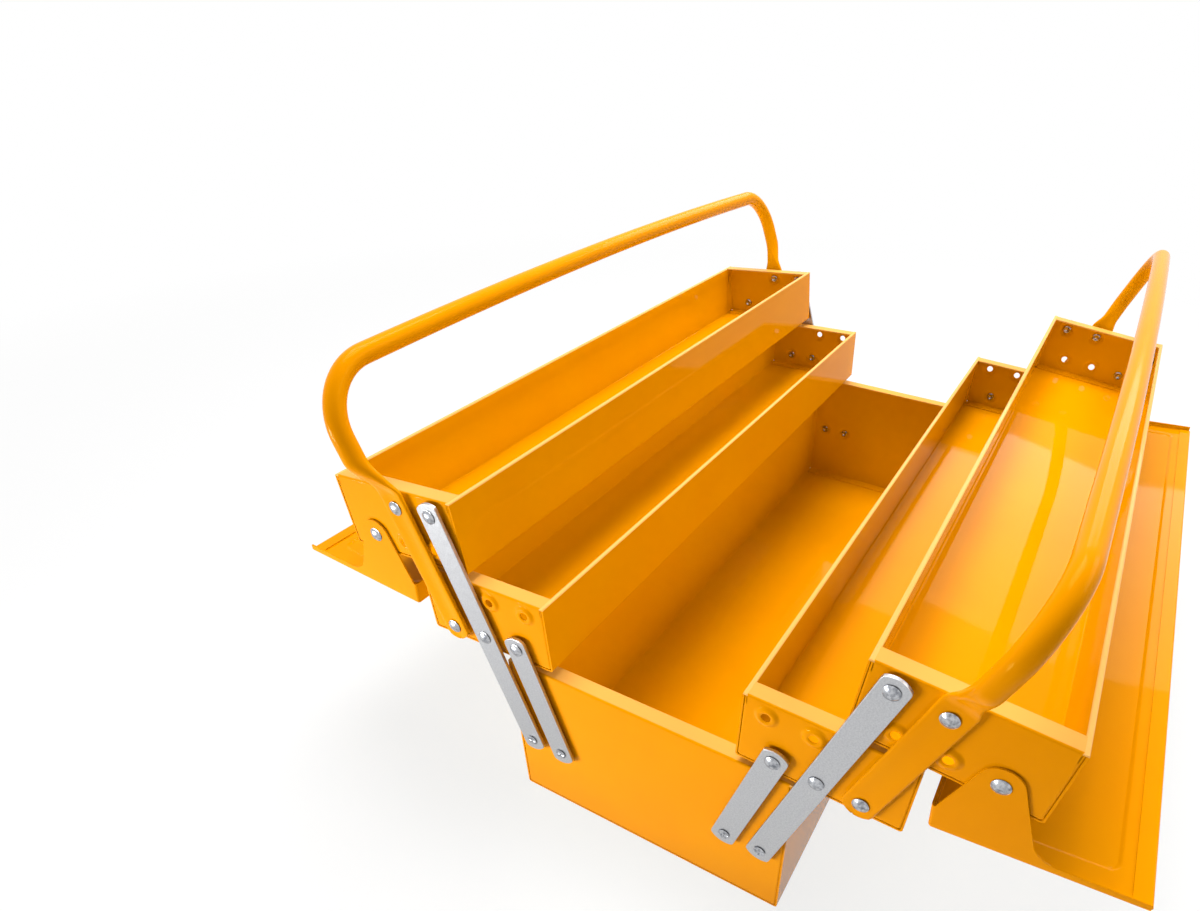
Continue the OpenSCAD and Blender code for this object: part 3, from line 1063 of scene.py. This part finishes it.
@dataclass
class Link:
    """Blanked steel strip with shallow round ends and a hole at each pivot."""

    name: str
    node: str
    body: str
    pins: Sequence[float]
    sizes: Sizes
    width: float = 12.0
    over: float = 6.5
    end_radius: float = 8.5
    corner_turn: float = 3.0
    corner_drop: float = 1.4
    hole: float = 2.1
    edge: float = 0.28
    edge_angle: float = 50.0
    # loose points of the faces: how far from each pivot, how far from the middle, how far past the end pivots
    loose_v: float = 5.0
    loose_u: float = 3.5
    loose_end: float = 2.0

    def build(self, place: Matrix, end: End, finish: bpy.types.Material) -> None:
        """Make the link upright from its lowest pivot and dress it.

        Args:
            place: The link's plane.
            end: The end of the box.
            finish: The plating.
        """
        s, half, r = self.sizes, (self.width - self.sizes.fit) / 2, self.end_radius
        last = self.pins[-1]
        top = last + self.over
        side = math.degrees(math.asin(half / r)) - self.corner_turn
        upper = arc((0, top - r), r, 90 - side, 90 + side, 12)
        lower = arc((0, r - self.over), r, 270 - side, 270 + side, 12)
        soft = r * math.cos(math.radians(side)) - self.corner_drop
        outline = [
            *upper, (-half, top - r + soft), (-half, r - self.over - soft),
            *lower, (half, r - self.over - soft), (half, top - r + soft),
        ]
        holes = [ring((0, v), self.hole, 24) for v in self.pins]
        rows = [v + d for v in self.pins for d in (-self.loose_v, self.loose_v)]
        rows = [v for v in rows if -self.loose_end < v < last + self.loose_end]
        loose = [(u, v) for v in rows for u in (-self.loose_u, 0.0, self.loose_u)]
        points, faces = filled(outline, holes, loose)
        x0, x1 = s.link_x, s.link_x + s.link_t
        form = Form()
        form.put([(x1, u, v) for u, v in points], faces)
        form.put([(x0, u, v) for u, v in points], [f[::-1] for f in faces])
        form.grid([[(x, u, v) for u, v in outline] for x in (x0, x1)], closed=True)
        for hole in holes:
            form.grid([[(x, u, v) for u, v in hole] for x in (x1, x0)], closed=True)
        thing = form.object(self.name, place @ facing(end))
        soften = thing.modifiers.new("tumbled", "BEVEL")
        soften.width, soften.segments, soften.limit_method = self.edge * MM, 3, "ANGLE"
        soften.angle_limit = math.radians(self.edge_angle)
        dress(settle(thing, plain=True), finish, self.body, "zinc_link", self.node)


@dataclass(frozen=True)
class Section:
    """One section of the handle, with the tube's way there in degrees from up towards the middle."""

    x: float
    v: float
    way: float
    width: float
    thick: float
    roundness: float


@dataclass
class Handle:
    """One tube bent into a grip, its two legs flattened into feet that are drilled for the pivots."""

    side: Side
    foot_arm: float
    sizes: Sizes
    tube: float = 9.5
    tube_out: float = 10.5
    foot_w: float = 14.0
    foot_low: float = 7.5
    foot_end: float = 9.5
    # where the foot's round end meets its straight edges: how far in the edge stays, and up to where
    foot_corner: float = 0.35
    foot_corner_reach: float = 0.5
    # from here up the foot's sections are spaced evenly
    foot_even: float = 4.0
    grip_up: float = 68.0
    bend: float = 28.0
    squeeze: float = 0.02
    arch: float = 3.5
    shoulder: float = 5.5
    narrow: float = 9.0
    swell: float = 22.0
    # the section grows round somewhat sooner than it grows thick
    rounding: float = 1.3
    around: int = 40
    # the flattened section: how its points crowd to the edges, and its hollow's depth and half width
    crowding: float = 0.55
    hollow: float = 0.42
    hollow_w: float = 0.72

    def __post_init__(self) -> None:
        """Work out where the foot ends, the tube swells and the grip bows."""
        s = self.sizes
        self.tube_x, self.foot_mid = s.half + self.tube_out, s.foot_x + s.foot_t / 2
        self.start = self.foot_arm + self.shoulder
        self.bend_x = self.tube_x - self.bend
        self.bow = 2 * math.degrees(math.atan(self.arch / self.bend_x))
        self.bow_r = self.bend_x / math.sin(math.radians(self.bow)) + self.bend
        self.bow_v = self.foot_arm + self.grip_up - self.bow_r
        self.bend_v = self.bow_v + (self.bow_r - self.bend) * math.cos(math.radians(self.bow))

    def flat(self) -> list[Point]:
        """Draw the flattened section on a unit box: round edges, a little hollow between them.

        Returns:
            The loop's points, from +u round.
        """
        out = []
        thin, none = self.sizes.foot_t / self.foot_w, 1e-9
        for k in range(self.around):
            a = 2 * math.pi * k / self.around
            c, s = math.cos(a), math.sin(a)
            # the loop's points crowd to the round edges, where the section turns
            u = math.copysign(abs(c) ** self.crowding, c) if abs(c) > none else 0.0
            edge = max(abs(u) - (1 - thin), 0) / thin
            v = math.copysign(math.sqrt(max(1 - edge * edge, 0)), s) if abs(s) > none else 0.0
            dip = math.cos(min(abs(u) / self.hollow_w, 1) * math.pi / 2) ** 2
            out.append((u, v * (1 - self.hollow * dip)))
        return out

    def foot(self) -> list[Section]:
        """List the sections of the flattened foot, from its round end up to its shoulder."""
        s, r, half = self.sizes, self.foot_end, self.foot_w / 2
        sag = r - math.sqrt(r**2 - half**2)
        out = []
        for d in (0.02, 0.12, 0.35, 0.75, 1.3, 2.0, 2.7, sag + 0.25, sag + 0.9):
            round_end = math.sqrt(max(r**2 - (r - d) ** 2, 0)) if d < sag else half
            wide = 2 * min(round_end, half - (self.foot_corner if d < sag + self.foot_corner_reach else 0))
            out.append(Section(self.foot_mid, d - self.foot_low, 0.0, wide, s.foot_t, 0.0))
        for k in range(1, 12):
            v = (self.start + self.foot_low - self.foot_even) * k / 12 + self.foot_even - self.foot_low
            out.append(Section(self.foot_mid, v, 0.0, self.foot_w, s.foot_t, 0.0))
        return out

    def neck(self) -> list[Section]:
        """List the sections where the flat foot swells to the round tube."""
        s, out, steps = self.sizes, [], 24
        for k in range(steps + 1):
            d = self.swell * k / steps
            a, b = ease(d / self.narrow), ease(d / self.swell)
            width = self.foot_w + (self.tube - self.foot_w) * a
            thick = s.foot_t + (self.tube - s.foot_t) * b
            x = self.foot_mid + (self.tube_x - self.foot_mid) * b
            out.append(Section(x, self.start + d, 0.0, width, thick, ease(d / self.swell * self.rounding)))
        return out

    def grip(self) -> list[Section]:
        """List the sections of the round leg, the bend and half of the bowed grip."""
        tube, steps = self.tube, 20
        leg = self.start + self.swell
        out = [Section(self.tube_x, leg + (self.bend_v - leg) * k / 3, 0.0, tube, tube, 1.0) for k in (1, 2)]
        for k in range(steps + 1):
            way = (90 - self.bow) * k / steps
            t, thick = math.radians(way), tube * (1 - self.squeeze * math.sin(math.pi * k / steps))
            x, v = self.bend_x + self.bend * math.cos(t), self.bend_v + self.bend * math.sin(t)
            out.append(Section(x, v, way, tube, thick, 1.0))
        for k in range(1, 13):
            way = 90 - self.bow + self.bow * k / 12
            t = math.radians(way)
            out.append(
                Section(self.bow_r * math.cos(t), self.bow_v + self.bow_r * math.sin(t), way, tube, tube, 1.0)
            )
        return out

    def build(self, place: Matrix, finish: bpy.types.Material) -> None:
        """Loft the sections and dress the handle.

        Args:
            place: The handle's plane, upright from its foot pivot.
            finish: The paint.
        """
        loop = self.flat()
        half = []
        for cut in (*self.foot(), *self.neck(), *self.grip()):
            c, s = math.cos(math.radians(cut.way)), math.sin(math.radians(cut.way))
            row = []
            for k, (flat_u, flat_t) in enumerate(loop):
                a = 2 * math.pi * k / self.around
                u = cut.width / 2 * (flat_u + (math.cos(a) - flat_u) * cut.roundness)
                t = cut.thick / 2 * (flat_t + (math.sin(a) - flat_t) * cut.roundness)
                row.append((cut.x + t * c, u, cut.v + t * s))
            half.append(row)
        rows = half[:-1] + [[(-x, u, v) for x, u, v in row] for row in half[::-1]]
        form = Form()
        form.grid(rows, closed=True)
        for row, flip in ((rows[0], False), (rows[-1], True)):
            face = list(range(len(row)))
            form.put(row, [face[::-1] if flip else face])
        name = self.side.name.lower()
        thing = form.object(f"bent_tube_handle_{name}", place, merge=0.002)
        dress(settle(thing), finish, f"{name}_handle", "painted_tube", f"handle_{name}")


@dataclass
class RivetForms:
    """The three turned rivet forms that the rivet sets repeat, drawn along +X from the face they sit on."""

    head: float = 3.5
    dome: float = 1.4
    tail: float = 2.8
    shank: float = 2.0
    reach: float = 2.4
    tail_reach: float = 1.0
    around: int = 40
    # the punched cross: depth, reach, width of its run-out, how narrow its arms are, and where it stops
    punch: float = 0.4
    punch_r: float = 2.5
    run_out: float = 0.5
    arms: float = 0.45
    lowest: float = 0.25

    def __post_init__(self) -> None:
        """Make the forms as objects for the rivet tree."""
        head, dome, tail = self.head, self.dome, self.tail
        curve = (head * head + dome * dome) / (2 * dome)
        heights = [dome * k / 8 for k in range(1, 8)]
        top = [(math.sqrt(curve**2 - (h + curve - dome) ** 2), h) for h in heights]
        domed = [(head - 0.15, 0.0), (head, 0.12), *top, (0.35, dome)]
        rolled = [
            (tail - 0.25, 0.0), (tail, 0.3), (tail - 0.1, 0.7), (tail - 0.55, 1.02), (tail - 1.0, 1.05),
            (tail - 1.35, 0.85), (tail - 1.6, 0.5), (tail - 1.9, 0.35), (0.3, 0.3),
        ]
        struck = [
            (2.7, 0.0), (2.85, 0.18), (2.7, 0.4), (2.3, 0.52),
            (1.8, 0.5), (1.3, 0.42), (0.8, 0.34), (0.3, 0.3),
        ]
        self.objects = {
            RivetShape.HEAD: self.turn("rivet_head_form", self.reach, domed),
            RivetShape.TAIL: self.turn("rivet_tail_form", self.tail_reach, rolled),
            RivetShape.CROSS: self.turn("rivet_cross_form", self.reach, struck, self.notched),
        }

    def notched(self, radius: float, angle: float) -> float:
        """Depth of the cross that the setting punch leaves.

        Args:
            radius: Distance from the rivet's middle.
            angle: Angle round it in radians.

        Returns:
            How far the face is driven in.
        """
        arm = abs(math.sin(2 * angle)) ** self.arms
        return self.punch * (1 - arm) * min(max((self.punch_r - radius) / self.run_out, 0), 1)

    def turn(
        self,
        name: str,
        reach: float,
        crown: Sequence[Point],
        dent: Callable[[float, float], float] | None = None,
    ) -> bpy.types.Object:
        """Turn a shank and its crown round the X axis.

        Args:
            name: The form's name.
            reach: Length of shank below the face that the crown sits on.
            crown: Radius and height of the crown's points, from its rim to its middle.
            dent: Depth driven into the face at a radius and angle, if any.

        Returns:
            The form, in metres.
        """
        rows = []
        for r, h in [(self.shank, -reach), (self.shank, 0.0), *crown]:
            row = []
            for k in range(self.around):
                a = 2 * math.pi * k / self.around
                low = dent(r, a) if dent and h > self.lowest else 0.0
                row.append((h - low, r * math.cos(a), r * math.sin(a)))
            rows.append(row)
        form = Form()
        form.grid(rows, closed=True)
        form.put(rows[-1], [list(range(self.around))])
        form.put(rows[0], [list(range(self.around))[::-1]])
        return form.object(name, Matrix.Scale(MM, 4), merge=0.001)

    def tree(self) -> bpy.types.NodeTree:
        """Build the Geometry Nodes tree that sets a form on each point, turned to its end of the box.

        Returns:
            The tree, with the inputs Geometry, one object for each form, and Finish.
        """
        tree = bpy.data.node_groups.new("set_rivets", "GeometryNodeTree")
        face = tree.interface
        face.new_socket("Geometry", in_out="OUTPUT", socket_type="NodeSocketGeometry")
        face.new_socket("Geometry", in_out="INPUT", socket_type="NodeSocketGeometry")
        for shape in RivetShape:
            face.new_socket(shape.name.title(), in_out="INPUT", socket_type="NodeSocketObject")
        face.new_socket("Finish", in_out="INPUT", socket_type="NodeSocketMaterial")
        given = add(tree, "NodeGroupInput").outputs
        stored = "GeometryNodeInputNamedAttribute"
        kind = add(tree, stored, {"Name": "kind"}, data_type="INT").outputs[0]
        turns = add(tree, stored, {"Name": "half_turns"}, data_type="FLOAT").outputs[0]
        angle = add(tree, "ShaderNodeMath", {0: turns, 1: math.pi}, operation="MULTIPLY").outputs[0]
        euler = add(tree, "ShaderNodeCombineXYZ", {"Z": angle}).outputs[0]
        turn = add(tree, "FunctionNodeEulerToRotation", {0: euler}).outputs[0]
        joined = add(tree, "GeometryNodeJoinGeometry")
        for shape in RivetShape:
            same = {2: kind, 3: shape.value}
            pick = add(tree, "FunctionNodeCompare", same, data_type="INT", operation="EQUAL")
            form = add(tree, "GeometryNodeObjectInfo", {"Object": given[shape.name.title()]})
            placed = add(
                tree, "GeometryNodeInstanceOnPoints",
                {
                    "Points": given["Geometry"], "Selection": pick.outputs[0],
                    "Instance": form.outputs["Geometry"], "Rotation": turn,
                },
            )
            tree.links.new(placed.outputs[0], joined.inputs[0])
        real = add(tree, "GeometryNodeRealizeInstances", {"Geometry": joined.outputs[0]}).outputs[0]
        coated = {"Geometry": real, "Material": given["Finish"]}
        done = add(tree, "GeometryNodeSetMaterial", coated).outputs[0]
        add(tree, "NodeGroupOutput", {0: done})
        return tree

    def clear(self) -> None:
        """Remove the forms once every set is made."""
        for thing in self.objects.values():
            bpy.data.objects.remove(thing)


@dataclass
class RivetSet:
    """Every rivet that one tray or the base carries, as one piece."""

    name: str
    node: str
    body: str
    points: list[Spot] = field(default_factory=list)
    kinds: list[int] = field(default_factory=list)
    turns: list[float] = field(default_factory=list)

    def rivet(self, place: Matrix, pin: Point, reach: Point, head: RivetShape = RivetShape.HEAD) -> None:
        """Add a rivet at both ends of the box.

        Args:
            place: The plane that the pivot is drawn in.
            pin: The pivot in that plane.
            reach: Where the tail and the head sit, along the box.
            head: The form on the outside.
        """
        for end in End:
            for x, shape, out in ((reach[1], head, end.value), (reach[0], RivetShape.TAIL, -end.value)):
                self.points.append(tuple(place @ Vector((end.value * x, *pin))))
                self.kinds.append(shape.value)
                self.turns.append(0.0 if out > 0 else 1.0)

    def build(self, forms: RivetForms, tree: bpy.types.NodeTree, finish: bpy.types.Material) -> None:
        """Set the rivets and dress them.

        Args:
            forms: The rivet forms.
            tree: The rivet tree.
            finish: The plating.
        """
        mesh = bpy.data.meshes.new(self.name)
        mesh.from_pydata(self.points, [], [])
        mesh.attributes.new("kind", "INT", "POINT").data.foreach_set("value", self.kinds)
        mesh.attributes.new("half_turns", "FLOAT", "POINT").data.foreach_set("value", self.turns)
        thing = bpy.data.objects.new(self.name, mesh)
        bpy.context.scene.collection.objects.link(thing)
        inputs = {shape.name.title(): forms.objects[shape] for shape in RivetShape}
        grow(thing, tree, {**inputs, "Finish": finish})
        dress(settle(thing), finish, self.body, "steel_rivet", self.node)


@dataclass
class ToolBox:
    """The whole box: base, and on each side two trays, a lid, links, rivets and a handle."""

    sizes: Sizes = field(default_factory=Sizes)

    def __post_init__(self) -> None:
        """Make the finishes, the trees and the poses."""
        self.paint = PowderCoat().build()
        # drawn tube is truer than sheet, so its film lies without waves
        self.tube_paint = PowderCoat(name="powder_coat_on_steel_tube", roughness=0.12, wave_depth=0.0).build()
        self.zinc = ZincPlate().build()
        self.steel = RivetSteel().build()
        self.folding = fold_tree()
        self.forms = RivetForms()
        self.riveting = self.forms.tree()
        self.stances = [Stance(side, self.sizes) for side in Side]

    def build(self) -> None:
        """Make every piece in order."""
        self.base()
        for stance in self.stances:
            self.trays(stance)
            self.arms(stance)
            Lid(stance.side, self.sizes).build(stance.lid_plane(), self.paint)
            place = plane(stance.side, stance.heel, -stance.foot_lean)
            Handle(stance.side, stance.foot_arm, self.sizes).build(place, self.tube_paint)
        self.forms.clear()

    def base(self) -> None:
        """Make the base trough, its ends and its rivets."""
        s = self.sizes
        centred = plane(Side.LEFT, (-s.base_w / 2, 0), 0)
        trough = Trough("base_trough", "base_tray", "base", s.base_w, s.base_h, s)
        trough.build(self.folding, centred, self.paint)
        pins, rivets = [], RivetSet("base_rivet_set", "base_rivets", "base")
        for stance in self.stances:
            place = plane(stance.side, (0, 0), 0)
            for pin in (stance.base_long, stance.base_short):
                pins.append((s.base_w / 2 + stance.side.value * pin.x, pin.y))
                rivets.rivet(place, tuple(pin), self.through(s.link_x + s.link_t), RivetShape.CROSS)
        for end in End:
            name = end.name.lower()
            piece, node = f"base_plate_{name}", f"base_end_{name}"
            plate = EndPlate(piece, node, "base", s.base_w, s.base_h, pins, [], s)
            plate.build(centred, end, self.paint)
        rivets.build(self.forms, self.riveting, self.steel)

    def through(self, outer: float) -> Point:
        """Say where a rivet's tail and head sit, through a boss and a piece with this outer face."""
        s = self.sizes
        return s.half + s.boss_h - s.sheet, outer + s.slip

    def trays(self, stance: Stance) -> None:
        """Make one side's middle and top trays, their ends and their rivets.

        Args:
            stance: The side's poses.
        """
        s, side = self.sizes, stance.name
        over_link, over_foot = self.through(s.link_x + s.link_t), self.through(s.foot_x + s.foot_t)
        over_ear = (s.half - s.sheet, s.half + s.ear_gap + s.sheet + s.slip)
        bosses = [s.short, s.mid, s.top, s.grip]
        levels = (
            (
                "mid", stance.mid_plane(), [s.short, s.mid, s.foot, s.top, s.grip], [],
                ((s.short, over_link), (s.mid, over_link), (s.foot, over_foot)),
            ),
            (
                "top", stance.top_plane(), bosses, [s.foot],
                ((s.top, over_link), (s.grip, over_foot), (s.foot, over_ear)),
            ),
        )
        for level, place, bossed, plain, riveted in levels:
            body = f"{side}_{level}_tray"
            trough = Trough(f"{level}_trough_{side}", f"{level}_tray_{side}", body, s.tray_w, s.tray_h, s)
            trough.build(self.folding, place, self.paint)
            for end in End:
                tag = f"{side}_{end.name.lower()}"
                plate = EndPlate(
                    f"{level}_plate_{tag}", f"{level}_end_{tag}", body, s.tray_w, s.tray_h, bossed, plain, s
                )
                plate.build(place, end, self.paint)
            rivets = RivetSet(f"{level}_rivet_set_{side}", f"{level}_rivets_{side}", body)
            for pin, reach in riveted:
                rivets.rivet(place, pin, reach)
            rivets.build(self.forms, self.riveting, self.steel)

    def arms(self, stance: Stance) -> None:
        """Make one side's long and short links.

        Args:
            stance: The side's poses.
        """
        s, side = self.sizes, stance.name
        kinds = (
            ("long", stance.base_long, stance.long_lean, [0, stance.arm, 2 * stance.arm]),
            ("short", stance.base_short, stance.short_lean, [0, stance.short_arm]),
        )
        for kind, low, lean, pins in kinds:
            place = plane(stance.side, low, -lean)
            for end in End:
                tag = f"{side}_{end.name.lower()}"
                link = Link(f"{kind}_strip_{tag}", f"{kind}_link_{tag}", f"{side}_{kind}_links", pins, s)
                link.build(place, end, self.zinc)


# ---- studio ----


@dataclass(frozen=True)
class Lamp:
    """A soft box: where it stands, where it points, how big and how strong it is."""

    name: str
    spot: Spot
    aim: Spot
    size: Point
    power: float
    spread: float = 180.0

    def build(self) -> None:
        """Hang the soft box."""
        light = bpy.data.lights.new(self.name, "AREA")
        light.shape, light.size, light.size_y = "RECTANGLE", *self.size
        light.energy = self.power
        light.spread = math.radians(self.spread)
        lamp = bpy.data.objects.new(self.name, light)
        lamp.location = self.spot
        lamp.rotation_euler = (Vector(self.aim) - Vector(self.spot)).to_track_quat("-Z", "Y").to_euler()
        bpy.context.scene.collection.objects.link(lamp)


@dataclass
class Studio:
    """White floor, soft boxes, even surroundings and the camera."""

    eye: Spot = (-0.39535, -0.13176, 0.35308)
    right: Spot = (0.47816, -0.87790, 0.02555)
    up: Spot = (0.51573, 0.30421, 0.80093)
    focal: float = 767.217
    centre: Point = (706.56, 563.31)
    picture: Point = (1200, 911)
    lamps: Sequence[Lamp] = (
        Lamp("overhead_box", (0.2, 0.2, 1.2), (0, 0, 0.1), (0.7, 0.6), 16.0),
        Lamp("far_box", (1.3, -0.05, 0.95), (0.1, -0.05, 0.1), (0.9, 0.45), 5.5),
        Lamp("near_left_box", (-0.74, 0.5, 0.06), (-0.2, 0.11, 0.07), (0.4, 0.12), 0.75, 60.0),
        Lamp("right_box", (0.2, -0.8, 0.8), (0, 0.1, 0.1), (0.8, 0.4), 4.6),
    )
    floor_reach: float = 6.0
    # how strongly the even surroundings light what they don't show to the eye
    fill: float = 0.18

    def build(self) -> None:
        """Set up the studio."""
        mesh = bpy.data.meshes.new("floor")
        r = self.floor_reach
        mesh.from_pydata([(-r, -r, 0), (r, -r, 0), (r, r, 0), (-r, r, 0)], [], [(0, 1, 2, 3)])
        mesh.materials.append(StudioPaper().build())
        floor = bpy.data.objects.new("floor", mesh)
        bpy.context.scene.collection.objects.link(floor)
        for lamp in self.lamps:
            lamp.build()
        self.surroundings()
        self.camera()
        bpy.context.scene.view_settings.view_transform = "Standard"

    def surroundings(self) -> None:
        """Light the scene evenly from all round, and show white where no floor is seen."""
        world = bpy.data.worlds.new("studio")
        bpy.context.scene.world = world
        world.use_nodes = True
        tree = world.node_tree
        tree.nodes.clear()
        dim = add(tree, "ShaderNodeBackground", {"Color": (1, 1, 1, 1), "Strength": self.fill}).outputs[0]
        white = add(tree, "ShaderNodeBackground", {"Color": (1, 1, 1, 1), "Strength": 1.0}).outputs[0]
        mixed = add(tree, "ShaderNodeMixShader", {0: shown(tree), 1: dim, 2: white}).outputs[0]
        add(tree, "ShaderNodeOutputWorld", {"Surface": mixed})

    def camera(self) -> None:
        """Place the camera, framed for a picture of 1200 by 911."""
        data = bpy.data.cameras.new("camera")
        wide, tall = self.picture
        data.sensor_fit, data.sensor_width = "HORIZONTAL", 36.0
        data.lens = self.focal / wide * data.sensor_width
        data.shift_x = (wide / 2 - self.centre[0]) / wide
        data.shift_y = (self.centre[1] - tall / 2) / wide
        data.clip_start, data.clip_end = 0.01, 50.0
        right, up = Vector(self.right).normalized(), Vector(self.up).normalized()
        turn = Matrix((right, up, right.cross(up))).transposed().to_4x4()
        camera = bpy.data.objects.new("camera", data)
        camera.matrix_world = Matrix.Translation(self.eye) @ turn
        bpy.context.scene.collection.objects.link(camera)
        bpy.context.scene.camera = camera


def main() -> None:
    """Build the box and the studio."""
    logging.basicConfig(level=logging.INFO, format="%(message)s")
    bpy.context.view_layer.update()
    ToolBox().build()
    Studio().build()


if __name__ == "__main__":
    main()
